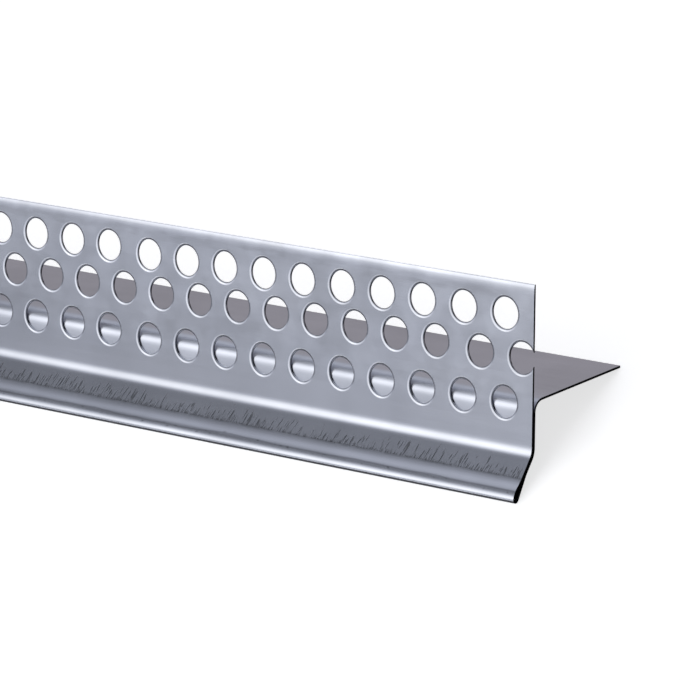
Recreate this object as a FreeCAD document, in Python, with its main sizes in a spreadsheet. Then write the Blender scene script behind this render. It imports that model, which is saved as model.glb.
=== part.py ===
"""Stainless steel plinth profile: one strip of thin sheet, perforated, folded and cut to length.

Seen from its end as it is built into a wall, the strip starts at the top as a perforated plaster
flange, slopes forward below it to a drip nose, turns back on itself there in an open hem, runs up
behind its own front layer and bends away to the rear as a leg. All sizes are in millimetres.

The section is drawn as built in: Y to the rear, Z up, the flange's front face at Y = 0 and the
lowest point of the nose at Z = 0. The finished piece is then tipped back as it lies on a floor,
on its nose and on the rear edge of its leg, with the origin below the middle of its box.
"""

import FreeCAD, Part

import math
import os

import Sketcher

V = FreeCAD.Vector

# Driving dimensions: alias, value, what it is
SIZES = [
    ("profile_length", 2000.0, "length the strip is cut to"),
    ("sheet_thickness", 0.45, "thickness of the strip"),
    ("fold_gap", 0.05, "hairline between the two layers where they lie together"),
    ("total_height", 40.5, "from the nose's lowest point to the flange's top edge"),
    ("drip_bend_height", 9.7, "where the flat flange ends and the drip slope's bend begins"),
    ("drip_bend_radius", 3.3, "inside radius of that bend, on the front"),
    ("nose_projection", 5.15, "how far the nose stands in front of the flange"),
    ("nose_radius", 0.8, "outside radius of the hem at the nose"),
    ("flare_radius", 11.0, "radius on the front where the slope flares out"),
    ("flare_angle", 10.0, "how much the flare turns forward, in degrees"),
    ("shoulder_radius", 4.0, "outside radius of the shoulder between the flare and the nose"),
    ("shoulder_angle", 30.0, "how much the shoulder turns back down, in degrees"),
    ("nose_lead", 0.15, "straight stretch on either side of the shoulder"),
    ("hem_height", 5.3, "where the rear layer comes to lie on the front one"),
    ("hem_radius", 7.0, "radius of the rear layer's bend there"),
    ("leg_bend_height", 16.3, "where the rear layer starts to bend into the leg"),
    ("leg_bend_radius", 2.15, "inside radius of that bend"),
    ("leg_depth", 26.0, "from the flange's front face to the leg's rear edge"),
    ("leg_slope", 6.5, "rise of the leg towards the rear, in degrees"),
    ("hole_diameter", 6.0, "punched hole"),
    ("hole_pitch", 10.0, "hole to hole along a row"),
    ("outer_row_height", 17.45, "height of the bottom row at the cut end"),
    ("outer_row_spacing", 16.75, "bottom row to top row"),
    ("middle_row_rise", 8.85, "bottom row to middle row"),
    ("middle_row_stagger", 4.15, "how far the middle row's holes are set on from the outer rows'"),
    ("stroke_gap", 0.82, "what the feed adds between two strokes of the punch"),
    ("row_tilt", 0.25, "how far the punch sits askew on the strip, in degrees"),
    ("end_margin", 6.8, "from the last hole of the outer rows to the cut end"),
]
STROKE_COLUMNS = 13  # holes that the punch makes in each row at one stroke
COLUMNS_PAST_END = 3  # of the end's own stroke, holes of the outer rows that fell beyond the cut
MIDDLE_ROW_LEAD = 8  # columns by which the middle row's punches run ahead of the outer ones

size = {alias: value for alias, value, note in SIZES}

os.makedirs("parts", exist_ok=True)
document = FreeCAD.newDocument("plinth_profile")
sheet = document.addObject("Spreadsheet::Sheet", "sizes")
for row, (alias, value, note) in enumerate(SIZES, start=1):
    sheet.set(f"A{row}", alias)
    sheet.set(f"B{row}", str(value))
    sheet.set(f"C{row}", note)
    sheet.setAlias(f"B{row}", alias)
document.recompute()

body = document.addObject("PartDesign::Body", "plinth_profile")
body.Label = "plinth_profile"


def origin_feature(role):
    """The body's own plane or axis of that role."""
    return next(item for item in body.Origin.OriginFeatures if item.Role == role)


def new_sketch(name, role):
    """An empty sketch on one of the body's own planes."""
    sketch = body.newObject("Sketcher::SketchObject", name)
    sketch.AttachmentSupport = [(origin_feature(role), "")]
    sketch.MapMode = "FlatFace"
    return sketch


def constrain(sketch, *words, value=None, formula=None):
    """Adds one constraint; a formula binds it to the sheet, and a bare alias brings its value."""
    if formula in size:
        value = size[formula]
        formula = f"sizes.{formula}"
    if value is not None:
        words = (*words, value)
    index = sketch.addConstraint(Sketcher.Constraint(*words))
    if formula:
        sketch.renameConstraint(index, f"d{index}")
        sketch.setExpression(f"Constraints.d{index}", formula)
    return index


# Where the section's bends lie, worked out so that its sketch starts where it ends up.
# A heading is the way the strip runs, as an angle from straight down that grows as it turns back.
thickness = size["sheet_thickness"]
double_layer = 2.0 * thickness + size["fold_gap"]
flare = math.radians(size["flare_angle"])
shoulder = math.radians(size["shoulder_angle"])
leg_rise = math.radians(size["leg_slope"])
leg_heading = 0.5 * math.pi + leg_rise
drip_centre = V(-size["drip_bend_radius"], size["drip_bend_height"])
nose_centre = V(size["nose_radius"] - size["nose_projection"], size["nose_radius"])
leg_centre = V(double_layer + size["leg_bend_radius"], size["leg_bend_height"])


def ahead(heading):
    """One step along a heading."""
    return V(math.sin(heading), -math.cos(heading))


def aside(heading):
    """One step square to a heading, to the side where the sheet's thickness lies."""
    return V(math.cos(heading), math.sin(heading))


def shoulder_centre(slope):
    """The centre of the shoulder for a slope that is this far from straight down."""
    heading = -slope - flare + shoulder
    nose_start = nose_centre - aside(heading) * size["nose_radius"]
    shoulder_end = nose_start - ahead(heading) * size["nose_lead"]
    return shoulder_end + aside(heading) * size["shoulder_radius"]


def flare_centre(slope):
    """The centre of the flare for that slope."""
    heading = -slope - flare
    shoulder_start = shoulder_centre(slope) - aside(heading) * size["shoulder_radius"]
    flare_end = shoulder_start - ahead(heading) * size["nose_lead"]
    return flare_end - aside(heading) * size["flare_radius"]


def slope_miss(slope):
    """How far the slope out of the drip bend passes that flare."""
    radius = size["flare_radius"] - size["drip_bend_radius"]
    return (flare_centre(slope) - drip_centre).dot(aside(-slope)) + radius


low = 0.0
high = math.radians(80.0)
low_miss = slope_miss(low)
for step in range(60):
    slope = 0.5 * (low + high)
    if slope_miss(slope) * low_miss > 0.0:
        low = slope
    else:
        high = slope

rear_radius = size["drip_bend_radius"] + double_layer
rear_foot = drip_centre + aside(-slope) * rear_radius
reach = (rear_foot.y - size["hem_height"]) / math.cos(slope)
hem_contact = rear_foot + ahead(-slope) * reach
hem_centre = hem_contact + aside(-slope) * size["hem_radius"]
span = hem_centre - nose_centre
lean = math.acos((size["nose_radius"] + size["hem_radius"]) / span.Length)
hem_slope = math.atan2(-span.y, span.x) + lean

# The bends along the strip's outer side, from the flange's top edge round the nose to the leg:
# centre, radius, the radius's formula, heading before and heading after
BENDS = [
    (drip_centre, size["drip_bend_radius"], "sizes.drip_bend_radius", 0.0, -slope),
    (flare_centre(slope), size["flare_radius"], "sizes.flare_radius", -slope, -slope - flare),
    (
        shoulder_centre(slope),
        size["shoulder_radius"],
        "sizes.shoulder_radius",
        -slope - flare,
        shoulder - slope - flare,
    ),
    (
        nose_centre,
        size["nose_radius"],
        "sizes.nose_radius",
        shoulder - slope - flare,
        math.pi - hem_slope,
    ),
    (hem_centre, size["hem_radius"], "sizes.hem_radius", math.pi - hem_slope, math.pi - slope),
    (
        drip_centre,
        rear_radius,
        "sizes.drip_bend_radius + 2 * sizes.sheet_thickness + sizes.fold_gap",
        math.pi - slope,
        math.pi,
    ),
    (leg_centre, size["leg_bend_radius"], "sizes.leg_bend_radius", math.pi, leg_heading),
]

leg_start = leg_centre + aside(leg_heading) * size["leg_bend_radius"]
leg_reach = (size["leg_depth"] - leg_start.x) / ahead(leg_heading).x
leg_corner = leg_start + ahead(leg_heading) * leg_reach

section = new_sketch("folded_section", "YZ_Plane")


def draw_side(offset):
    """Draws one side of the strip, this far in from its outer side, and joins it smoothly."""
    here = V(offset, size["total_height"])
    lines = []
    arcs = []
    for centre, radius, formula, before, after in BENDS:
        turns_back = after > before
        side_radius = radius - offset if turns_back else radius + offset
        circle = Part.Circle(centre, V(0.0, 0.0, 1.0), side_radius)
        if turns_back:
            start = centre - aside(before) * side_radius
            end = centre - aside(after) * side_radius
            arc = Part.ArcOfCircle(circle, before + math.pi, after + math.pi)
        else:
            start = centre + aside(before) * side_radius
            end = centre + aside(after) * side_radius
            arc = Part.ArcOfCircle(circle, after, before)
        lines.append(section.addGeometry(Part.LineSegment(here, start)))
        arcs.append(section.addGeometry(arc))
        first, last = (1, 2) if turns_back else (2, 1)
        constrain(section, "Tangent", lines[-1], 2, arcs[-1], first)
        if len(lines) > 1:
            constrain(section, "Tangent", arcs[-2], last_before, lines[-1], 1)
        sign = "-" if turns_back else "+"
        if offset > 0.0:
            formula = f"{formula} {sign} sizes.sheet_thickness"
        constrain(section, "Radius", arcs[-1], value=side_radius, formula=formula)
        here = end
        last_before = last
    leg_end = leg_corner + aside(leg_heading) * offset
    lines.append(section.addGeometry(Part.LineSegment(here, leg_end)))
    constrain(section, "Tangent", arcs[-1], last_before, lines[-1], 1)
    return lines, arcs


lines, arcs = draw_side(0.0)
inner_lines, inner_arcs = draw_side(thickness)
for arc, inner_arc in zip(arcs, inner_arcs):
    constrain(section, "Coincident", arc, 3, inner_arc, 3)

# Where the outer side runs; the other side follows it
flange_line, slope_line, flare_lead, nose_lead, hem_line, rear_line, wall_line, leg_line = lines
drip_arc, flare_arc, shoulder_arc, nose_arc, hem_arc, rear_arc, leg_arc = arcs
ORIGIN = (-1, 1)
constrain(section, "Vertical", flange_line)
constrain(section, "PointOnObject", flange_line, 1, -2)
constrain(section, "DistanceY", *ORIGIN, flange_line, 1, formula="total_height")
constrain(section, "DistanceY", *ORIGIN, flange_line, 2, formula="drip_bend_height")
constrain(section, "Angle", flare_arc, value=flare, formula="sizes.flare_angle")
constrain(section, "Angle", shoulder_arc, value=shoulder, formula="sizes.shoulder_angle")
constrain(section, "Distance", flare_lead, formula="nose_lead")
constrain(section, "Distance", nose_lead, formula="nose_lead")
nose_set_back = "sizes.nose_projection - sizes.nose_radius"
constrain(
    section, "DistanceX", nose_arc, 3, *ORIGIN, value=-nose_centre.x, formula=nose_set_back
)
constrain(section, "DistanceY", *ORIGIN, nose_arc, 3, formula="nose_radius")
constrain(section, "Coincident", drip_arc, 3, rear_arc, 3)
constrain(section, "Parallel", slope_line, rear_line)
constrain(section, "DistanceY", *ORIGIN, rear_line, 1, formula="hem_height")
constrain(section, "Vertical", wall_line)
constrain(section, "DistanceY", *ORIGIN, wall_line, 2, formula="leg_bend_height")
constrain(section, "Angle", leg_line, value=leg_rise, formula="sizes.leg_slope")
constrain(section, "DistanceX", *ORIGIN, leg_line, 2, formula="leg_depth")

# The two cut edges of the strip close the section
top_start = V(0.0, size["total_height"])
top_edge = section.addGeometry(
    Part.LineSegment(top_start, top_start + V(thickness, 0.0))
)
leg_edge = section.addGeometry(
    Part.LineSegment(leg_corner, leg_corner + aside(leg_heading) * thickness)
)
for edge, outer, outer_end, inner in (
    (top_edge, flange_line, 1, inner_lines[0]),
    (leg_edge, leg_line, 2, inner_lines[-1]),
):
    constrain(section, "Coincident", outer, outer_end, edge, 1)
    constrain(section, "Coincident", inner, outer_end, edge, 2)
    constrain(section, "Perpendicular", outer, edge)
constrain(section, "Vertical", inner_lines[0])
constrain(section, "Parallel", leg_line, inner_lines[-1])
document.recompute()

strip = body.newObject("PartDesign::Pad", "folded_strip")
strip.Profile = section
strip.setExpression("Length", "sizes.profile_length")
section.Visibility = False

# One column of three holes, on the flange's front face and askew by the punch's tilt. It stands
# where the end's own stroke of the punch begins, beyond the cut end.
column = new_sketch("hole_column", "XZ_Plane")
column.setExpression(
    "AttachmentOffset.Base.x", "sizes.profile_length - sizes.end_margin"
)
column.setExpression("AttachmentOffset.Base.y", "sizes.outer_row_height")
column.setExpression("AttachmentOffset.Rotation.Angle", "sizes.row_tilt")
outer_run = f"{COLUMNS_PAST_END} * sizes.hole_pitch"
middle_columns = COLUMNS_PAST_END + MIDDLE_ROW_LEAD
middle_run = f"{middle_columns} * sizes.hole_pitch + sizes.middle_row_stagger"
outer_run_now = COLUMNS_PAST_END * size["hole_pitch"]
middle_run_now = middle_columns * size["hole_pitch"] + size["middle_row_stagger"]
HOLES = [
    (outer_run, outer_run_now, None),
    (outer_run, outer_run_now, "outer_row_spacing"),
    (middle_run, middle_run_now, "middle_row_rise"),
]
for run, run_now, rise in HOLES:
    centre = V(run_now, size[rise] if rise else 0.0)
    circle = Part.Circle(centre, V(0.0, 0.0, 1.0), 0.5 * size["hole_diameter"])
    hole = column.addGeometry(circle)
    constrain(column, "Diameter", hole, formula="hole_diameter")
    constrain(column, "DistanceX", *ORIGIN, hole, 3, value=run_now, formula=run)
    if rise:
        constrain(column, "DistanceY", *ORIGIN, hole, 3, formula=rise)
    else:
        constrain(column, "PointOnObject", hole, 3, -1)

punch = body.newObject("PartDesign::Pocket", "punched_column")
punch.Profile = column
punch.setExpression("Length", "sizes.sheet_thickness + sizes.fold_gap / 2")
column.Visibility = False

# The stroke of the punch repeats the column, and the feed repeats the stroke along the strip
stroke = f"({STROKE_COLUMNS} * sizes.hole_pitch + sizes.stroke_gap)"
perforation = body.newObject("PartDesign::MultiTransform", "perforation")
perforation.Originals = [punch]
columns = document.addObject("PartDesign::LinearPattern", "columns_of_a_stroke")
columns.Direction = (column, ["H_Axis"])
columns.Reversed = True
columns.Occurrences = STROKE_COLUMNS
columns.setExpression("Length", f"{STROKE_COLUMNS - 1} * sizes.hole_pitch")
feed = document.addObject("PartDesign::LinearPattern", "strokes_along_the_strip")
feed.Direction = (origin_feature("X_Axis"), [""])
feed.Reversed = True
feed.setExpression("Occurrences", f"ceil(sizes.profile_length / {stroke}) + 1")
feed.setExpression("Length", f"ceil(sizes.profile_length / {stroke}) * {stroke}")
body.addObject(columns)
body.addObject(feed)
perforation.Transformations = [columns, feed]
body.Tip = perforation
document.recompute()

# Tipped back until the nose and the leg's rear edge lie on one level, and set over the origin
from_nose = leg_corner - nose_centre
bearing = math.atan2(from_nose.y, from_nose.x)
tip_back = bearing + math.asin(size["nose_radius"] / from_nose.Length)
tilt = FreeCAD.Rotation(V(1.0, 0.0, 0.0), -math.degrees(tip_back))
tipped = section.Shape.copy()
tipped.rotate(V(0.0, 0.0, 0.0), V(1.0, 0.0, 0.0), -math.degrees(tip_back))
box = tipped.optimalBoundingBox(False, False)
middle = 0.5 * (box.YMin + box.YMax)
body.Placement = FreeCAD.Placement(V(-0.5 * size["profile_length"], -middle, -box.ZMin), tilt)
document.recompute()

for item in document.Objects:
    if "Invalid" in item.State or "Error" in item.State:
        raise RuntimeError(f"{item.Name} did not compute: {item.State}")
for item in (section, column):
    if not item.FullyConstrained:
        raise RuntimeError(f"{item.Name} is not fully constrained")
shape = body.Shape
if shape.isNull() or not shape.isValid() or len(shape.Solids) != 1:
    raise RuntimeError("the strip is not one sound solid")
removed = strip.Shape.Volume - shape.Volume
one_hole = math.pi * size["hole_diameter"] ** 2 / 4.0 * size["sheet_thickness"]
if removed < one_hole:
    raise RuntimeError("the punch missed the flange")
shape.exportStep("parts/plinth_profile.step")
print(f"tipped back {math.degrees(tip_back):.3f} deg, slope {math.degrees(slope):.2f} deg")
print(f"holes by volume {removed / one_hole:.1f}, volume {shape.Volume:.1f} mm3")
print("placed at", body.Placement)
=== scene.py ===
"""Looks for the plinth profile: a finer mesh of the same strip, its sheet metal and a soft studio.

The strip is drawn as built in (Y to the rear, Z up, millimetres) and then laid as it rests on the
floor, by the same turn and shift as the solid has.
"""

import math

import bpy
from mathutils import Matrix, Vector
from mathutils.geometry import delaunay_2d_cdt


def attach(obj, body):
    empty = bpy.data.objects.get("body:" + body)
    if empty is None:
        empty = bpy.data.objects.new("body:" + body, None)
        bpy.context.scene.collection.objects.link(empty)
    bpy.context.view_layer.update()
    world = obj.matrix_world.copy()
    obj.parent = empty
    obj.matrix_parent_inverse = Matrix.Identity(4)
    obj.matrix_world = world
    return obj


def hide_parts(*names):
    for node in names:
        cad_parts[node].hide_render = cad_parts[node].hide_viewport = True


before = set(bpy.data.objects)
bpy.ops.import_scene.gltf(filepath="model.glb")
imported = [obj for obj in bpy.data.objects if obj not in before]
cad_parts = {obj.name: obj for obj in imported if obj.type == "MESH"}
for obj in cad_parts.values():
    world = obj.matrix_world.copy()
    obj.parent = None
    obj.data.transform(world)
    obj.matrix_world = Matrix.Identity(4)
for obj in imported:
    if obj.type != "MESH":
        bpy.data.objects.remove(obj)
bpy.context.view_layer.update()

# The strip's sizes, as in the part's source, in millimetres
LENGTH = 2000.0
SHEET = 0.45
FOLD_GAP = 0.05
HEIGHT = 40.5
DRIP_BEND_Z = 9.7
DRIP_BEND_R = 3.3
NOSE_OUT = 5.15
NOSE_R = 0.8
FLARE_R = 11.0
FLARE = math.radians(10.0)
SHOULDER_R = 4.0
SHOULDER = math.radians(30.0)
NOSE_LEAD = 0.15
HEM_Z = 5.3
HEM_R = 7.0
LEG_BEND_Z = 16.3
LEG_BEND_R = 2.15
LEG_DEPTH = 26.0
LEG_RISE = math.radians(6.5)
HOLE_R = 3.0
PITCH = 10.0
ROW_Z = 17.45
ROW_SPACING = 16.75
MIDDLE_RISE = 8.85
MIDDLE_STAGGER = 4.15
STROKE_GAP = 0.82
ROW_TILT = math.radians(0.25)
END_MARGIN = 6.8
STROKE_COLUMNS = 13
COLUMNS_PAST_END = 3
MIDDLE_LEAD = 8

MM = 0.001
UV_PER_MM = 0.01  # texture coordinates for a millimetre of sheet
MM_PER_UV = 100.0


# The section is one smooth path along the strip's outer side.
# A heading is the way the path runs, as an angle from straight down that grows as it turns back.
def ahead(heading):
    return Vector((math.sin(heading), -math.cos(heading)))


def aside(heading):
    return Vector((math.cos(heading), math.sin(heading)))


DOUBLE = 2.0 * SHEET + FOLD_GAP
drip_centre = Vector((-DRIP_BEND_R, DRIP_BEND_Z))
nose_centre = Vector((NOSE_R - NOSE_OUT, NOSE_R))
leg_centre = Vector((DOUBLE + LEG_BEND_R, LEG_BEND_Z))


def shoulder_centre_for(slope):
    heading = -slope - FLARE + SHOULDER
    end = nose_centre - aside(heading) * NOSE_R - ahead(heading) * NOSE_LEAD
    return end + aside(heading) * SHOULDER_R


def flare_centre_for(slope):
    heading = -slope - FLARE
    start = shoulder_centre_for(slope) - aside(heading) * SHOULDER_R
    return start - ahead(heading) * NOSE_LEAD - aside(heading) * FLARE_R


def slope_miss(slope):
    return (flare_centre_for(slope) - drip_centre).dot(aside(-slope)) + FLARE_R - DRIP_BEND_R


# The drip slope at which the flare starts in line with it, found by halving
HALVINGS = 60
low, high = 0.0, math.radians(80.0)
low_miss = slope_miss(low)
for _ in range(HALVINGS):
    SLOPE = 0.5 * (low + high)
    if slope_miss(SLOPE) * low_miss > 0.0:
        low = SLOPE
    else:
        high = SLOPE
flare_centre = flare_centre_for(SLOPE)
shoulder_centre = shoulder_centre_for(SLOPE)
rear_r = DRIP_BEND_R + DOUBLE
rear_foot = drip_centre + aside(-SLOPE) * rear_r
hem_contact = rear_foot + ahead(-SLOPE) * ((rear_foot.y - HEM_Z) / math.cos(SLOPE))
hem_centre = hem_contact + aside(-SLOPE) * HEM_R
span = hem_centre - nose_centre
HEM_SLOPE = math.atan2(-span.y, span.x) + math.acos((NOSE_R + HEM_R) / span.length)
LEG_HEADING = 0.5 * math.pi + LEG_RISE
leg_start = leg_centre + aside(LEG_HEADING) * LEG_BEND_R
leg_corner = leg_start + ahead(LEG_HEADING) * ((LEG_DEPTH - leg_start.x) / ahead(LEG_HEADING).x)

# Each bend down the path: centre, radius, heading before, heading after, facets
BENDS = [
    (drip_centre, DRIP_BEND_R, 0.0, -SLOPE, 14),
    (flare_centre, FLARE_R, -SLOPE, -SLOPE - FLARE, 5),
    (shoulder_centre, SHOULDER_R, -SLOPE - FLARE, SHOULDER - SLOPE - FLARE, 12),
    (nose_centre, NOSE_R, SHOULDER - SLOPE - FLARE, math.pi - HEM_SLOPE, 28),
    (hem_centre, HEM_R, math.pi - HEM_SLOPE, math.pi - SLOPE, 5),
    (drip_centre, rear_r, math.pi - SLOPE, math.pi, 10),
    (leg_centre, LEG_BEND_R, math.pi, LEG_HEADING, 18),
]
SAMPLE_STEP = 0.5  # the straight runs between bends are sampled this finely
LONG_RUN = 12.0  # a run longer than this is left in one piece


def path_samples():
    """Points down the outer side from below the flange's flat, and where each bend is.

    A sample is (distance along, point, heading), and a bend (start along, end along).
    """
    samples = []
    turns = []
    here = Vector((0.0, DRIP_BEND_Z))
    along = HEIGHT - DRIP_BEND_Z
    for centre, radius, before, after, facets in BENDS:
        turn = 1.0 if after > before else -1.0
        start = centre - aside(before) * (radius * turn)
        run = (start - here).length
        pieces = max(1, math.ceil(run / SAMPLE_STEP)) if run < LONG_RUN else 1
        for step in range(1, pieces):
            samples.append((along + run * step / pieces, here.lerp(start, step / pieces), before))
        along += run
        turns.append((along, along + radius * abs(after - before)))
        for step in range(facets + 1):
            heading = before + (after - before) * step / facets
            point = centre - aside(heading) * (radius * turn)
            samples.append((along + radius * abs(heading - before), point, heading))
        along += radius * abs(after - before)
        here = centre - aside(after) * (radius * turn)
    samples.append((along + (leg_corner - here).length, leg_corner, LEG_HEADING))
    return samples, turns


PATH, TURNS = path_samples()
PATH_END = PATH[-1][0]

# A real bend eases in and out: the light on it follows headings averaged over a short run,
# with the two front bends' light a little lower than the drawn arcs
EASE = 0.4
EASE_STEP = 0.25 * EASE
EASE_STEPS = 12
KNEE_START, KNEE_END = TURNS[0]
SHOULDER_START, SHOULDER_END = TURNS[2]
LOWERED = [
    (0.0, 0.0),
    (KNEE_START, 0.0),
    (KNEE_END, 0.20),
    (KNEE_END + 1.5, 0.175),
    (SHOULDER_START - 0.3, 0.15),
    (SHOULDER_END, 0.40),
    (SHOULDER_END + 0.9, 0.0),
    (PATH_END, 0.0),
]


def read_table(table, at):
    """The value at a place, between the table's rows."""
    for (a, low_value), (b, high_value) in zip(table, table[1:]):
        if a <= at <= b:
            return low_value + (high_value - low_value) * (at - a) / (b - a)
    return table[0][1]


HEADINGS = [(0.0, 0.0)] + [(along, heading) for along, _, heading in PATH]


def eased_heading(along):
    total = 0.0
    weights = 0.0
    for step in range(-EASE_STEPS, EASE_STEPS + 1):
        off = step * EASE_STEP
        weight = math.exp(-0.5 * (off / EASE) ** 2)
        at = min(PATH_END, max(0.0, along + off))
        total += weight * read_table(HEADINGS, max(0.0, at - read_table(LOWERED, at)))
        weights += weight
    return total / weights


# The turn and shift that lay the strip on the floor
from_nose = leg_corner - nose_centre
TIP = math.atan2(from_nose.y, from_nose.x) + math.asin(NOSE_R / from_nose.length)


def tipped(point):
    return Vector(
        (
            point.x * math.cos(TIP) + point.y * math.sin(TIP),
            -point.x * math.sin(TIP) + point.y * math.cos(TIP),
        )
    )


nose_low = tipped(nose_centre)
leg_tip = tipped(leg_corner + aside(LEG_HEADING) * SHEET)
SHIFT = Vector((0.5 * ((nose_low.x - NOSE_R) + leg_tip.x), nose_low.y - NOSE_R))


def laid(x, y, z):
    """A point drawn as built in, as it lies on the floor, in metres."""
    flat = tipped(Vector((y, z))) - SHIFT
    return Vector(((x - 0.5 * LENGTH) * MM, flat.x * MM, flat.y * MM))


def laid_direction(x, y, z):
    flat = tipped(Vector((y, z)))
    return Vector((x, flat.x, flat.y))


# The punched holes: three rows, thirteen columns a stroke, a little askew
def hole_centres():
    centres = []
    cos_tilt, sin_tilt = math.cos(ROW_TILT), math.sin(ROW_TILT)
    stroke = STROKE_COLUMNS * PITCH + STROKE_GAP
    outer = COLUMNS_PAST_END * PITCH
    middle = (COLUMNS_PAST_END + MIDDLE_LEAD) * PITCH + MIDDLE_STAGGER
    for number in range(math.ceil(LENGTH / stroke) + 1):
        for column in range(STROKE_COLUMNS):
            for run, rise in ((outer, 0.0), (outer, ROW_SPACING), (middle, MIDDLE_RISE)):
                u = run - column * PITCH
                x = LENGTH - END_MARGIN + u * cos_tilt - rise * sin_tilt - number * stroke
                z = ROW_Z + u * sin_tilt + rise * cos_tilt
                if -HOLE_R < x < LENGTH + HOLE_R:
                    centres.append((x, z))
    return centres


HOLES = hole_centres()
NEAR = LENGTH - 150.0  # holes from here to the near end are drawn finer
FACETS_FINE = 48
FACETS_COARSE = 18
TOUCH = 1e-6  # a ring that reaches past an end by less than this stays closed

# How the punch drew in a hole's edge: how far outside the hole, how deep, the normal's tilt
RIM_FINE = [
    (0.56, 0.0, 0.0),
    (0.44, 0.010, 8.0),
    (0.30, 0.038, 15.0),
    (0.16, 0.080, 22.0),
    (0.11, 0.105, 46.0),
    (0.04, 0.150, 68.0),
    (0.0, 0.20, 90.0),
]
RIM_COARSE = [(0.56, 0.0, 0.0), (0.30, 0.038, 15.0), (0.07, 0.120, 42.0), (0.0, 0.20, 90.0)]

# The material slots of the sheet's faces
STEEL_SLOT = 0
# the cut ends and the ragged walls of holes that don't face up are painted near-black as shade
CUT_SHADE_SLOT = 1

TORN = 0.27  # below this depth the punch tore the hole's wall instead of cutting it

# How the shear drew over the flange's top edge: height below the top, depth, the normal's tilt
WORN = 0.15  # the sheared edge is rubbed down this much
TOP_ROLL = [
    (2.0, 0.0, 0.0),
    (1.4, 0.006, 1.2),
    (0.95, 0.024, 3.0),
    (0.60, 0.055, 7.5),
    (0.36, 0.100, 14.0),
    (0.22, 0.150, 20.0),
    (WORN, 0.190, 22.0),
]


class Sheet:
    """Collects a mesh's faces with a normal and a place for each corner.

    A place is where the corner lies on the flat strip: along it, and down its path, in mm.
    """

    def __init__(self):
        self.index = {}
        self.points = []
        self.faces = []
        self.normals = []
        self.places = []
        self.slots = []

    def vertex(self, x, y, z):
        key = (round(x, 4), round(y, 4), round(z, 4))
        if key not in self.index:
            self.index[key] = len(self.points)
            self.points.append(laid(x, y, z))
        return self.index[key]

    def face(self, corners, slot=STEEL_SLOT):
        """corners: ((x, y, z), (normal), (place)) in order, either way round."""
        turn = Vector((0.0, 0.0, 0.0))
        outward = Vector((0.0, 0.0, 0.0))
        for a, b in zip(corners, corners[1:] + corners[:1]):
            turn += Vector(a[0]).cross(Vector(b[0]))
            outward += Vector(a[1])
        if turn.dot(outward) < 0.0:
            corners = corners[::-1]
        ids = [self.vertex(*corner[0]) for corner in corners]
        kept = [n for n in range(len(ids)) if ids[n] != ids[n - 1]]
        if len(kept) < 3 or len({ids[n] for n in kept}) < 3:
            return
        self.faces.append([ids[n] for n in kept])
        self.normals.extend(laid_direction(*corners[n][1]) for n in kept)
        self.places.extend(corners[n][2] for n in kept)
        self.slots.append(slot)


sheet = Sheet()


def arc_of_hole(x, z, radius, facets):
    """Points round a hole inside the strip, and whether the ring is closed.

    A hole cut open by an end has its ring's two ends exactly on the cut.
    """
    for end, inward in ((LENGTH, -1.0), (0.0, 1.0)):
        gap = (x - end) * inward
        if gap < radius - TOUCH:
            half = math.acos(max(-1.0, min(1.0, -gap / radius)))
            middle = 0.0 if inward > 0.0 else math.pi
            angles = [middle - half + 2.0 * half * n / facets for n in range(facets + 1)]
            ring = [(x + radius * math.cos(a), z + radius * math.sin(a), a) for a in angles]
            ring[0] = (end, ring[0][1], angles[0])
            ring[-1] = (end, ring[-1][1], angles[-1])
            return ring, False
    angles = [2.0 * math.pi * n / facets for n in range(facets)]
    return [(x + radius * math.cos(a), z + radius * math.sin(a), a) for a in angles], True


def rim_of(x):
    return RIM_FINE if x > NEAR else RIM_COARSE


def facets_of(x):
    return FACETS_FINE if x > NEAR else FACETS_COARSE


STATION_COUNT = 40
STATIONS = [LENGTH * n / STATION_COUNT for n in range(STATION_COUNT + 1)]
TOP_FLAT = HEIGHT - TOP_ROLL[0][0]
EASE_IN = (1.6, 1.2, 0.8, 0.4, 0.0)  # heights above the knee at which its light eases in
FLAT_FOOT = DRIP_BEND_Z + EASE_IN[0]
BACK = 200.0  # places on the strip's inner side start this far on
CUT_PLACE = 400.0  # and those on the cut ends this far on
CELL = 12.0  # the holes are looked up in cells of this length
INSIDE_RING = 0.995  # a triangle with its middle within this share of a ring's radius is dropped
NO_AREA = 1e-7
MERGE = 1e-7


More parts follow.
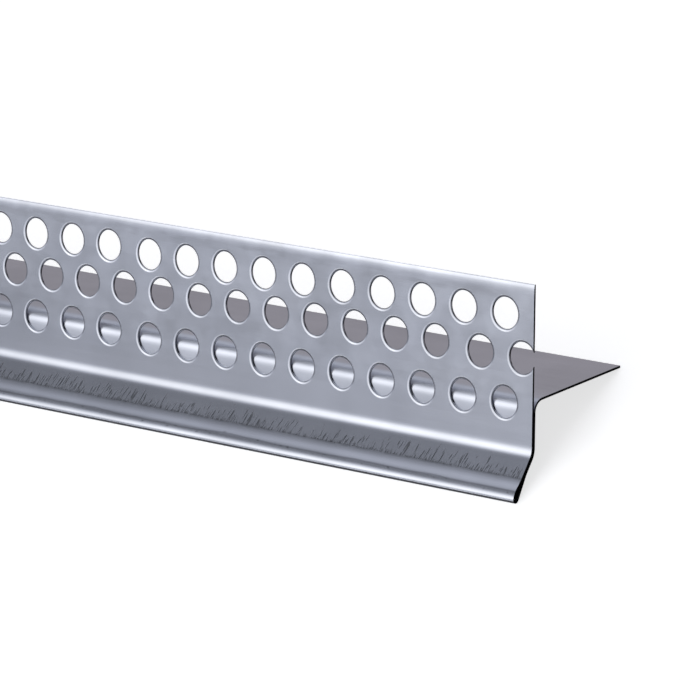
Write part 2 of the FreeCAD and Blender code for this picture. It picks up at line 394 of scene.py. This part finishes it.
def triangulate(depth, faces_front):
    """The flat of the flange on one side, with the holes of that side's ring radius left out."""
    top = TOP_FLAT if faces_front else HEIGHT - WORN
    foot = FLAT_FOOT if faces_front else DRIP_BEND_Z
    border = [(x, foot) for x in STATIONS] + [(x, top) for x in reversed(STATIONS)]
    points = []
    edges = []
    rings = []
    for x, z in HOLES:
        grow = rim_of(x)[0][0] if faces_front else 0.0
        ring, closed = arc_of_hole(x, z, HOLE_R + grow, facets_of(x))
        rings.append((x, z, HOLE_R + grow))
        first = len(points)
        points.extend((p[0], p[1]) for p in ring)
        count = len(ring)
        edges.extend((first + n, first + n + 1) for n in range(count - 1))
        if closed:
            edges.append((first + count - 1, first))
    first = len(points)
    points.extend(border)
    ends = {}
    for n, p in enumerate(points):
        if p[0] in (0.0, LENGTH):
            ends.setdefault(p[0], []).append(n)
    half = len(STATIONS)
    for n in range(half - 1):
        edges.append((first + n, first + n + 1))
        edges.append((first + half + n, first + half + n + 1))
    for members in ends.values():
        members.sort(key=lambda n: points[n][1])
        edges.extend(zip(members, members[1:]))
    flat = [Vector(p) for p in points]
    out, _, triangles, *_ = delaunay_2d_cdt(flat, edges, [], 0, MERGE)
    cells = {}
    for x, z, radius in rings:
        cells.setdefault(int(x // CELL), []).append((x, z, radius))
    normal = (0.0, -1.0, 0.0) if faces_front else (0.0, 1.0, 0.0)
    start = 0.0 if faces_front else BACK
    for triangle in triangles:
        corners = [out[n] for n in triangle]
        cx = sum(c.x for c in corners) / 3.0
        cz = sum(c.y for c in corners) / 3.0
        near = [hole for k in (-1, 0, 1) for hole in cells.get(int(cx // CELL) + k, [])]
        if any(math.hypot(cx - x, cz - z) < radius * INSIDE_RING for x, z, radius in near):
            continue
        area = (corners[1] - corners[0]).cross(corners[2] - corners[0])
        if abs(area) < NO_AREA:
            continue
        sheet.face([((c.x, depth, c.y), normal, (c.x, start + HEIGHT - c.y)) for c in corners])


def punch_rims():
    """Each hole's rim and wall, its ragged inner part painted dark as shade where not facing up.
    """
    for x, z in HOLES:
        profile = rim_of(x) + [(0.0, TORN, 90.0), (0.0, SHEET, 90.0)]
        rings = []
        for grow, depth, tilt in profile:
            ring, closed = arc_of_hole(x, z, HOLE_R + grow, facets_of(x))
            lean = math.radians(tilt)
            corners = []
            for px, pz, angle in ring:
                normal = (
                    -math.cos(angle) * math.sin(lean),
                    -math.cos(lean),
                    -math.sin(angle) * math.sin(lean),
                )
                corners.append(((px, depth, pz), normal, (px, HEIGHT - pz)))
            rings.append(corners)
        for outer, inner in zip(rings, rings[1:]):
            count = len(outer) if closed else len(outer) - 1
            for n in range(count):
                after = (n + 1) % len(outer)
                faces_up = outer[n][1][2] >= 0.5
                # painted shade: the ragged lower wall goes near-black unless it faces up
                shaded_tear = inner is rings[-1] and not faces_up
                slot = CUT_SHADE_SLOT if shaded_tear else STEEL_SLOT
                sheet.face([outer[n], outer[after], inner[after], inner[n]], slot)


def sweep(profile):
    """Draws a run of section points, each (y, z, normal, along), from end to end."""
    for a, b in zip(profile, profile[1:]):
        for x0, x1 in zip(STATIONS, STATIONS[1:]):
            corners = []
            for x, p in ((x0, a), (x0, b), (x1, b), (x1, a)):
                normal = (0.0, p[2][0], p[2][1])
                corners.append(((x, p[0], p[1]), normal, (x, p[3])))
            sheet.face(corners)


triangulate(0.0, True)
triangulate(SHEET, False)
punch_rims()

# The flange's top edge, rolled over by the shear
roll = []
for below, depth, tilt in reversed(TOP_ROLL):
    lean = math.radians(tilt)
    roll.append((depth, HEIGHT - below, (-math.cos(lean), math.sin(lean)), below))
sweep(roll)
burr = roll[0][2]
top_z = HEIGHT - WORN
sweep([(SHEET, top_z, burr, WORN - SHEET), (TOP_ROLL[-1][1], top_z, burr, WORN)])

# The outer side below the flat, round the nose and back to the leg's rear edge
outer = []
for over in EASE_IN:
    along = HEIGHT - DRIP_BEND_Z - over
    out = -aside(eased_heading(along))
    outer.append((0.0, DRIP_BEND_Z + over, (out.x, out.y), along))
for along, point, _ in PATH[1:]:
    out = -aside(eased_heading(along))
    outer.append((point.x, point.y, (out.x, out.y), along))
sweep(outer)

# The inner side, eased where it can be seen through the holes
LEG_BEND_START, LEG_BEND_END = TURNS[-1]
EASED_FROM = LEG_BEND_START - 2.0
inner = []
for along, point, heading in reversed(PATH):
    spot = point + aside(heading) * SHEET
    inward = aside(eased_heading(along) if along > EASED_FROM else heading)
    inner.append((spot.x, spot.y, (inward.x, inward.y), BACK + along))
sweep(inner)

# The leg's rear edge
end = outer[-1]
rear_face = ahead(LEG_HEADING)
tip = leg_corner + aside(LEG_HEADING) * SHEET
sweep([
    (end[0], end[1], (rear_face.x, rear_face.y), PATH_END),
    (tip.x, tip.y, (rear_face.x, rear_face.y), PATH_END + SHEET),
])


def cap(x, outward):
    """Closes the strip at one cut end, in fans and quads from side to side along the section."""
    normal = (outward, 0.0, 0.0)

    def polygon(points):
        corners = []
        for y, z in points:
            corners.append(((x, y, z), normal, (x + outward * (y + 1.0), CUT_PLACE + z)))
        # the cut end is painted near-black, as shade
        sheet.face(corners, CUT_SHADE_SLOT)

    def fan(centre, rim):
        for a, b in zip(rim, rim[1:]):
            polygon([centre, a, b])

    # Each notch's edge, above and below it, runs from the front side to the back side
    notches = []
    for hx, hz in HOLES:
        if abs(hx - x) < HOLE_R:
            sides = []
            for grow, depth, _ in rim_of(hx):
                half = math.sqrt((HOLE_R + grow) ** 2 - (hx - x) ** 2)
                sides.append((depth, half))
            above = [(depth, hz + half) for depth, half in sides]
            below = [(depth, hz - half) for depth, half in sides]
            notches.append((hz, above, below))
    notches.sort(reverse=True)
    lower_front = [(depth, HEIGHT - below) for below, depth, _ in TOP_ROLL]
    lower_back = (SHEET, HEIGHT - WORN)
    fan(lower_back, lower_front)
    start = (lower_front[0], lower_back)
    for _, above, below in notches:
        back = (SHEET, above[-1][1])
        polygon([start[0], start[1], back, above[0]])
        fan(back, above)
        back = (SHEET, below[-1][1])
        fan(back, below)
        start = (below[0], back)
    foot = [(0.0, DRIP_BEND_Z + over) for over in EASE_IN]
    fan((SHEET, DRIP_BEND_Z), [start[1], start[0]] + foot)
    rows = [(p[1], p[1] + aside(p[2]) * SHEET) for p in PATH]
    for (a, a_in), (b, b_in) in zip(rows, rows[1:]):
        polygon([(a.x, a.y), (a_in.x, a_in.y), (b_in.x, b_in.y), (b.x, b.y)])


cap(LENGTH, 1.0)
cap(0.0, -1.0)

mesh = bpy.data.meshes.new("plinth_sheet")
mesh.from_pydata(sheet.points, [], sheet.faces)
layer = mesh.uv_layers.new(name="strip")
for corner, spot in enumerate(sheet.places):
    layer.data[corner].uv = (spot[0] * UV_PER_MM, spot[1] * UV_PER_MM)
mesh.polygons.foreach_set("material_index", sheet.slots)
mesh.polygons.foreach_set("use_smooth", [True] * len(sheet.faces))
mesh.normals_split_custom_set(sheet.normals)
mesh.validate(verbose=False)
mesh.update()
strip = bpy.data.objects.new("plinth_sheet", mesh)
bpy.context.scene.collection.objects.link(strip)


# Materials
def new_material(name):
    material = bpy.data.materials.new(name)
    material.use_nodes = True
    tree = material.node_tree
    return material, tree.nodes, tree.links, tree.nodes["Principled BSDF"]


class Maths:
    """Short ways to chain a material's nodes, from numbers and from other nodes' outputs."""

    def __init__(self, nodes, links):
        self.nodes = nodes
        self.links = links

    def feed(self, socket, value):
        if hasattr(value, "is_output"):
            self.links.new(value, socket)
        else:
            socket.default_value = value

    def math(self, operation, *values):
        node = self.nodes.new("ShaderNodeMath")
        node.operation = operation
        for socket, value in zip(node.inputs, values):
            self.feed(socket, value)
        return node.outputs[0]

    def add(self, a, b):
        return self.math("ADD", a, b)

    def less(self, a, b):
        return self.math("SUBTRACT", a, b)

    def times(self, a, b):
        return self.math("MULTIPLY", a, b)

    def ramp(self, value, low, high, to_low=0.0, to_high=1.0, smooth=True):
        node = self.nodes.new("ShaderNodeMapRange")
        node.interpolation_type = "SMOOTHSTEP" if smooth else "LINEAR"
        ends = (("From Min", low), ("From Max", high), ("To Min", to_low), ("To Max", to_high))
        for name, number in ends:
            node.inputs[name].default_value = number
        self.feed(node.inputs["Value"], value)
        return node.outputs[0]

    def line(self, value, low, high, to_low, to_high):
        return self.ramp(value, low, high, to_low, to_high, smooth=False)

    def noise(self, x, y, seed, detail=2.0, roughness=0.5):
        """Noise over a plane whose two coordinates are already scaled."""
        place = self.nodes.new("ShaderNodeCombineXYZ")
        self.feed(place.inputs[0], x)
        self.feed(place.inputs[1], y)
        place.inputs[2].default_value = seed
        node = self.nodes.new("ShaderNodeTexNoise")
        node.noise_dimensions = "3D"
        node.inputs["Scale"].default_value = 1.0
        node.inputs["Detail"].default_value = detail
        node.inputs["Roughness"].default_value = roughness
        self.links.new(place.outputs[0], node.inputs["Vector"])
        return node.outputs[0]

    def bell(self, value, middle, width):
        """One at the middle, falling off to nothing a few widths away."""
        off = self.math("DIVIDE", self.less(value, middle), width)
        return self.math("EXPONENT", self.times(self.times(off, off), -1.0))

    def darken(self, tone, mark, share):
        """The tone, lowered by a share of itself where the mark is one."""
        return self.times(tone, self.less(1.0, self.times(mark, share)))

    def strip_place(self):
        """How far along the strip a point lies, and how far down its path, in millimetres."""
        reading = self.nodes.new("ShaderNodeUVMap")
        reading.uv_map = "strip"
        split = self.nodes.new("ShaderNodeSeparateXYZ")
        self.links.new(reading.outputs[0], split.inputs[0])
        return self.times(split.outputs[0], MM_PER_UV), self.times(split.outputs[1], MM_PER_UV)

    def tinted(self, tone, colour):
        tint = self.nodes.new("ShaderNodeVectorMath")
        tint.operation = "SCALE"
        tint.inputs[0].default_value = colour
        self.links.new(tone, tint.inputs["Scale"])
        return tint.outputs[0]


def along_at(z):
    """How far along the front side the path comes down to a height."""
    for (a0, p0, _), (a1, p1, _) in zip(PATH, PATH[1:]):
        if p0.y >= z >= p1.y:
            return a0 + (a1 - a0) * (p0.y - z) / (p0.y - p1.y)
    return HEIGHT - z


STEEL_COLOUR = (0.61, 0.63, 0.69)
# near-black painted shade for the cut ends and the ragged walls of holes that don't face up
TORN_SHADE_COLOUR = (0.012, 0.012, 0.014)

# By what share each mark darkens the steel
SCUFF_DARK = 0.66
BASE_LINE_DARK = 0.30
WAVY_LINE_DARK = 0.20
UNDER_TOP_DARK = 0.13
PIT_DARK = 0.35

SCUFF_LINE_Z = 4.35  # the height on the drip slope from which the scuffs rise
SCUFF_LEAN = 0.22
SHOULDER_LINE_Z = 2.35  # about the height of the fine wavy line
SHEEN_WAVE_MIDDLE = 1893.0  # a place along the strip where the painted sheen is brightest
SHEEN_WAVE_LENGTH = 190.0

steel, nodes, links, shader = new_material("rolled_stainless")
m = Maths(nodes, links)
x_mm, a_mm = m.strip_place()


def over_sheet(per_x, per_a, seed, detail=2.0, roughness=0.5):
    """Noise with so many waves in a millimetre along the strip and down its path."""
    return m.noise(m.times(x_mm, per_x), m.times(a_mm, per_a), seed, detail, roughness)


# Scuffs of the bending tool: short leaning strokes that rise from a line on the drip slope,
# long sparse ones and low dense ones
base_line = along_at(SCUFF_LINE_Z)
rise = m.less(base_line, a_mm)
leaning = m.less(x_mm, m.times(rise, SCUFF_LEAN))


def strokes(per_mm, seed, thin, thick, short, long, reach_per_mm):
    """Strokes from where noise passes thin and thick, between short and long millimetres tall."""
    line = m.noise(m.times(leaning, per_mm), m.times(a_mm, 0.3), seed, 1.0)
    line = m.ramp(line, thin, thick)
    reach = m.noise(m.times(leaning, reach_per_mm), 0.0, seed + 4.6, 2.0)
    reach = m.line(reach, 0.3, 0.7, short, long)
    return m.times(line, m.ramp(m.less(reach, rise), 0.0, 0.6))


long_scuffs = strokes(
    per_mm=3.3, seed=3.1, thin=0.535, thick=0.605, short=0.9, long=4.2, reach_per_mm=0.9
)
low_scuffs = strokes(
    per_mm=4.4, seed=5.2, thin=0.46, thick=0.545, short=0.2, long=1.4, reach_per_mm=1.3
)
scuffs = m.math("MAXIMUM", long_scuffs, low_scuffs)
scuffs = m.times(scuffs, m.ramp(rise, -0.05, 0.12))

# The line that the strokes start from, and a fine wavy one on the shoulder with pits along it
broken = m.noise(m.times(x_mm, 0.35), 0.0, seed=1.3, detail=3.0)
broken = m.ramp(broken, 0.35, 0.6, 0.35, 1.0)
base_mark = m.times(m.bell(a_mm, base_line, 0.22), broken)
wander = m.times(m.noise(m.times(x_mm, 0.09), 0.0, seed=4.4), 1.2)
wavy_middle = m.add(wander, along_at(SHOULDER_LINE_Z) - 0.55)
wavy_off = m.less(a_mm, wavy_middle)
wavy = m.add(m.bell(wavy_off, 0.0, 0.15), m.times(m.bell(wavy_off, 0.45, 0.45), 0.5))
pits = m.ramp(over_sheet(0.9, 1.6, seed=4.9, detail=0.0), 0.70, 0.76)
pits = m.times(pits, m.bell(wavy_off, 0.15, 0.45))

# Painted shade: darker patches just under the top edge break up the lower edge of its bright band
patchy = m.ramp(over_sheet(0.13, 0.5, seed=8.6), 0.35, 0.65)
under_top = m.times(m.bell(a_mm, 2.3, 1.2), patchy)

# The steel's even tone: blotches, smears, rolling grain, bands across, and on the flange soft
# clouds; and a painted sheen, a slow wave of brighter colour along the flange
grain = over_sheet(0.05, 6.0, seed=9.2, detail=3.0, roughness=0.6)
blotch = over_sheet(0.035, 0.09, seed=5.5, detail=3.0, roughness=0.55)
smear = over_sheet(0.012, 0.5, seed=2.8)
bands = over_sheet(0.10, 0.03, seed=1.9)
clouds = m.line(over_sheet(0.16, 0.20, seed=7.3), 0.3, 0.7, -0.09, 0.09)
clouds = m.times(clouds, m.ramp(a_mm, 22.0, 28.0, 1.0, 0.0))
# Painted sheen: the flange's colour brightens and dims in a slow wave along the strip
painted_sheen_wave = m.math("COSINE", m.times(m.less(x_mm, SHEEN_WAVE_MIDDLE), 2.0 * math.pi / SHEEN_WAVE_LENGTH))
painted_sheen_wave = m.times(painted_sheen_wave, m.ramp(a_mm, 5.0, 24.0, 0.09, 0.0))
painted_sheen_wave = m.times(painted_sheen_wave, m.ramp(a_mm, 0.5, 3.0))
tone = m.line(blotch, 0.25, 0.75, 0.93, 1.05)
tone = m.add(tone, m.line(smear, 0.25, 0.75, -0.03, 0.03))
tone = m.add(tone, m.line(grain, 0.3, 0.7, -0.02, 0.02))
tone = m.add(tone, m.line(bands, 0.3, 0.7, -0.04, 0.04))
tone = m.add(tone, clouds)
tone = m.add(tone, painted_sheen_wave)

# The leg's bend, seen through the lowest holes, is stretched by the bending and shines softer,
# and its colour there is brightened: a painted highlight
bend_highlight_and_roughness = m.bell(a_mm, BACK + (LEG_BEND_START + LEG_BEND_END) / 2.0, 3.5)
tone = m.times(tone, m.add(1.0, m.times(bend_highlight_and_roughness, 0.22)))

tone = m.darken(tone, scuffs, SCUFF_DARK)
tone = m.darken(tone, base_mark, BASE_LINE_DARK)
tone = m.darken(tone, wavy, WAVY_LINE_DARK)
tone = m.darken(tone, under_top, UNDER_TOP_DARK)
tone = m.darken(tone, pits, PIT_DARK)
links.new(m.tinted(tone, STEEL_COLOUR), shader.inputs["Base Color"])
shader.inputs["Metallic"].default_value = 1.0
shine = m.line(blotch, 0.2, 0.8, 0.25, 0.19)
shine = m.add(shine, m.times(scuffs, 0.10))
shine = m.add(shine, m.times(bend_highlight_and_roughness, 0.14))
links.new(shine, shader.inputs["Roughness"])

# The relief, in millimetres
GRAIN_HEIGHT = 0.0005
SCUFF_DEPTH = 0.002
SWAY_MIDDLE = 18.0  # the sheet leans about this place down its path
SWAY_END = 60.0  # and past this one it doesn't lean
height = m.times(grain, GRAIN_HEIGHT)
height = m.less(height, m.times(scuffs, SCUFF_DEPTH))

# The sheet isn't quite flat: along the strip it leans forward and back by about half a degree,
# and forward a little more towards the near end
sway = m.noise(m.times(x_mm, 0.022), 0.0, seed=6.4, detail=1.0)
sway = m.line(sway, 0.2, 0.8, -0.011, 0.011)
sway = m.add(sway, m.ramp(x_mm, 1915.0, 2010.0, -0.002, 0.020))
down_sheet = m.less(m.math("MINIMUM", a_mm, SWAY_END), SWAY_MIDDLE)
height = m.add(height, m.times(down_sheet, sway))
relief = nodes.new("ShaderNodeBump")
relief.inputs["Strength"].default_value = 1.0
relief.inputs["Distance"].default_value = MM
links.new(height, relief.inputs["Height"])
links.new(relief.outputs[0], shader.inputs["Normal"])

# The cut ends and ragged hole walls: rough metal whose near-black colour is painted shade
cut, nodes, links, shader = new_material("sheared_edge_painted_shade")
m = Maths(nodes, links)
across, down = m.strip_place()
tear = m.noise(m.times(across, 3.0), m.times(down, 9.0), seed=6.1, detail=3.0, roughness=0.6)
tear_shade_tone = m.line(tear, 0.3, 0.7, 0.7, 1.3)
links.new(m.tinted(tear_shade_tone, TORN_SHADE_COLOUR), shader.inputs["Base Color"])
shader.inputs["Metallic"].default_value = 1.0
links.new(m.line(tear, 0.3, 0.7, 0.45, 0.6), shader.inputs["Roughness"])
mesh.materials.append(steel)
mesh.materials.append(cut)
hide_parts("plinth_profile")
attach(strip, "root")

# The photograph's camera, found from the holes and edges, over the strip as built in
PICTURE_PX = 680.0
SENSOR_WIDTH = 36.0
LENS_PX = 5267.25
AZIMUTH, ELEVATION, ROLL = (math.radians(a) for a in (41.1427, 11.1658, 0.5342))
OFFSET = Vector((30.2598, -11.4768, -973.1408))
EYE_ORIGIN = Vector((LENGTH - END_MARGIN, 0.0, ROW_Z))

back = Vector(
    (
        math.sin(AZIMUTH) * math.cos(ELEVATION),
        -math.cos(AZIMUTH) * math.cos(ELEVATION),
        math.sin(ELEVATION),
    )
)
level = Vector((math.cos(AZIMUTH), math.sin(AZIMUTH), 0.0))
upright = back.cross(level)
right = level * math.cos(ROLL) + upright * math.sin(ROLL)
up = upright * math.cos(ROLL) - level * math.sin(ROLL)
eye = EYE_ORIGIN - right * OFFSET.x - up * OFFSET.y - back * OFFSET.z

camera_data = bpy.data.cameras.new("camera")
camera_data.sensor_width = SENSOR_WIDTH
camera_data.lens = LENS_PX / PICTURE_PX * SENSOR_WIDTH
camera_data.clip_start = 0.05
camera_data.clip_end = 100.0
camera = bpy.data.objects.new("camera", camera_data)
axes = [laid_direction(*axis) for axis in (right, up, back)]
turn = Matrix((axes[0], axes[1], axes[2])).transposed().to_4x4()
camera.matrix_world = Matrix.Translation(laid(*eye)) @ turn
bpy.context.scene.collection.objects.link(camera)
bpy.context.scene.camera = camera


# Helpers for the floor and the studio
def bare_material(name):
    """A material with nothing in it but its output."""
    material = bpy.data.materials.new(name)
    material.use_nodes = True
    nodes = material.node_tree.nodes
    links = material.node_tree.links
    nodes.clear()
    return material, nodes, links, nodes.new("ShaderNodeOutputMaterial")


def level_sheet(name, half_x, near_y, far_y, z):
    """A level rectangle from near_y to far_y."""
    plate = bpy.data.meshes.new(name)
    plate.from_pydata(
        [(-half_x, near_y, z), (half_x, near_y, z), (half_x, far_y, z), (-half_x, far_y, z)],
        [],
        [(0, 1, 2, 3)],
    )
    item = bpy.data.objects.new(name, plate)
    bpy.context.scene.collection.objects.link(item)
    return item


# The floor: pale, white to the camera and in the metal, and keeping the strip's shadow
FLOOR_REACH = 12.0
FLOOR_GLOW = 0.71  # with the light it gets, this makes the floor white in the picture
floor = level_sheet("floor", FLOOR_REACH, -FLOOR_REACH, FLOOR_REACH, 0.0)
pale, nodes, links, output = bare_material("pale_floor")
m = Maths(nodes, links)
diffuse = nodes.new("ShaderNodeBsdfDiffuse")
diffuse.inputs["Color"].default_value = (0.8, 0.8, 0.8, 1.0)
glow = nodes.new("ShaderNodeEmission")
glow.inputs["Color"].default_value = (1.0, 1.0, 1.0, 1.0)
seen = nodes.new("ShaderNodeLightPath")
direct = m.math("MAXIMUM", seen.outputs["Is Camera Ray"], seen.outputs["Is Transmission Ray"])
direct = m.math("MAXIMUM", direct, seen.outputs["Is Glossy Ray"])
links.new(m.times(direct, FLOOR_GLOW), glow.inputs["Strength"])
both = nodes.new("ShaderNodeAddShader")
links.new(diffuse.outputs[0], both.inputs[0])
links.new(glow.outputs[0], both.inputs[1])
links.new(both.outputs[0], output.inputs["Surface"])
floor.data.materials.append(pale)

# The studio: a shell of light round the strip. Its light varies with the angle it is seen at, in
# degrees up from straight ahead of the flange as built in, and along the strip, in metres.
SHELL_R = 3.0
SHELL_STRENGTH = 4.0
SHELL_END = (0.25, 0.25, 0.26)
MAIN_LIGHT = [
    (-180.0, 0.37), (-120.0, 0.30), (-60.0, 0.30), (-40.0, 0.8), (-34.0, 1.1), (-30.0, 1.42),
    (-25.0, 1.00), (-20.0, 0.40), (-14.7, 0.30), (-10.0, 0.72), (-6.0, 1.05), (-2.0, 1.34),
    (2.0, 1.56), (6.0, 1.66), (18.0, 1.72), (22.0, 1.65), (26.0, 1.42), (30.0, 1.10),
    (34.0, 0.82), (38.0, 0.54), (42.0, 0.27), (46.0, 0.23), (50.0, 0.23), (54.0, 0.21),
    (58.0, 0.24), (62.0, 0.44), (66.0, 0.60), (70.0, 0.65), (74.0, 0.68), (84.0, 0.72),
    (92.0, 0.70), (105.0, 0.60), (125.0, 0.40), (143.0, 0.35), (152.0, 0.36), (180.0, 0.36),
]
SIDE_LIGHT = [
    (-180.0, 0.3), (-40.0, 0.4), (-20.0, 1.0), (-5.0, 1.25), (40.0, 1.25), (50.0, 0.4),
    (180.0, 0.3),
]

# Along the strip: how much of the main light there is, how far the side light takes over, and
# how much of either is left towards the dark end
ALONG_MAIN = [
    (-9.0, 0.3), (-3.0, 0.55), (-2.2, 0.72), (-1.75, 0.90), (-1.5, 1.03), (-1.2, 1.12),
    (9.0, 1.12),
]
ALONG_SIDE = [(-9.0, 0.0), (-0.95, 0.0), (-0.55, 1.0), (9.0, 1.0)]
ALONG_DARK = [(-9.0, 1.0), (1.0, 1.0), (2.0, 0.2), (9.0, 0.2)]
DIM_TINT = (0.965, 1.0, 1.11)
REAR_TINT = (1.05, 1.0, 1.05)
REAR_FROM = 120.0
WHITE_FROM = 0.6  # from this level the tint fades, over the span, to white
WHITE_SPAN = 0.8


def light_at(angle, x):
    """The shell's colour, bluish where it is dim and white where it is bright."""
    side = read_table(ALONG_SIDE, x)
    level = read_table(MAIN_LIGHT, angle) * read_table(ALONG_MAIN, x) * (1.0 - side)
    level += read_table(SIDE_LIGHT, angle) * side
    level *= read_table(ALONG_DARK, x)
    white = min(1.0, max(0.0, (level - WHITE_FROM) / WHITE_SPAN))
    dim = REAR_TINT if abs(angle) > REAR_FROM else DIM_TINT
    return [level * (tint + (1.0 - tint) * white) for tint in dim]


ANGLES = [-180.0 + 2.0 * n for n in range(180)]
RINGS_AT = [
    -9.0, -6.0, -4.0, -3.2, -2.6, -2.2, -1.9, -1.7, -1.5, -1.3, -1.1, -0.9, -0.7, 0.0, 1.0,
    2.0, 2.6, 3.0, 3.4, 5.0, 9.0,
]
shell_points = []
shell_light = []
for x in RINGS_AT:
    for angle in ANGLES:
        radians = math.radians(angle)
        spot = laid_direction(0.0, -math.cos(radians), math.sin(radians)) * SHELL_R
        shell_points.append((x, spot.y, spot.z))
        shell_light.append(light_at(angle, x))
shell_faces = []
around = len(ANGLES)
for ring in range(len(RINGS_AT) - 1):
    for n in range(around):
        after = (n + 1) % around
        a = ring * around
        b = a + around
        shell_faces.append((a + n, a + after, b + after, b + n))
for x, ring in ((RINGS_AT[0], 0), (RINGS_AT[-1], len(RINGS_AT) - 1)):
    shell_points.append((x, 0.0, 0.0))
    shell_light.append(SHELL_END)
    hub = len(shell_points) - 1
    for n in range(around):
        shell_faces.append((hub, ring * around + n, ring * around + (n + 1) % around))
shell_mesh = bpy.data.meshes.new("studio_shell")
shell_mesh.from_pydata(shell_points, [], shell_faces)
colours = shell_mesh.color_attributes.new("light", "FLOAT_COLOR", "POINT")
for n, colour in enumerate(shell_light):
    colours.data[n].color = tuple(channel / SHELL_STRENGTH for channel in colour) + (1.0,)
shell = bpy.data.objects.new("studio_shell", shell_mesh)
bpy.context.scene.collection.objects.link(shell)
shell.visible_camera = False
bright, nodes, links, output = bare_material("studio_light")
glow = nodes.new("ShaderNodeEmission")
reading = nodes.new("ShaderNodeAttribute")
reading.attribute_name = "light"
links.new(reading.outputs["Color"], glow.inputs["Color"])
glow.inputs["Strength"].default_value = SHELL_STRENGTH
links.new(glow.outputs[0], output.inputs["Surface"])
shell_mesh.materials.append(bright)

# Grey cards lie on the floor round the strip, where only its metal mirrors them; the dark one
# under the strip is painted shade, standing in for the shaded floor there
CARD_REACH = 9.0
CARD_Z = 0.0001
CARDS = (
    ("card_front", -2.9, -0.0185, (0.10, 0.10, 0.105)),
    # painted shade: the floor under the strip, as the metal mirrors it
    ("card_under_painted_shade", -0.0185, 0.0186, (0.05, 0.05, 0.05)),
    ("card_rear", 0.0186, 2.9, (0.369, 0.347, 0.371)),
)
for name, near_y, far_y, colour in CARDS:
    card = level_sheet(name, CARD_REACH, near_y, far_y, CARD_Z)
    card.visible_camera = False
    card.visible_diffuse = False
    card.visible_shadow = False
    grey, nodes, links, output = bare_material(name)
    glow = nodes.new("ShaderNodeEmission")
    glow.inputs["Color"].default_value = colour + (1.0,)
    glow.inputs["Strength"].default_value = 1.0
    links.new(glow.outputs[0], output.inputs["Surface"])
    card.data.materials.append(grey)

# The world: a white background
world = bpy.data.worlds.new("studio")
bpy.context.scene.world = world
world.use_nodes = True
nodes = world.node_tree.nodes
links = world.node_tree.links
nodes.clear()
output = nodes.new("ShaderNodeOutputWorld")
white = nodes.new("ShaderNodeBackground")
white.inputs["Color"].default_value = (1.0, 1.0, 1.0, 1.0)
white.inputs["Strength"].default_value = 1.0
links.new(white.outputs[0], output.inputs["Surface"])

bpy.context.scene.view_settings.view_transform = "Standard"
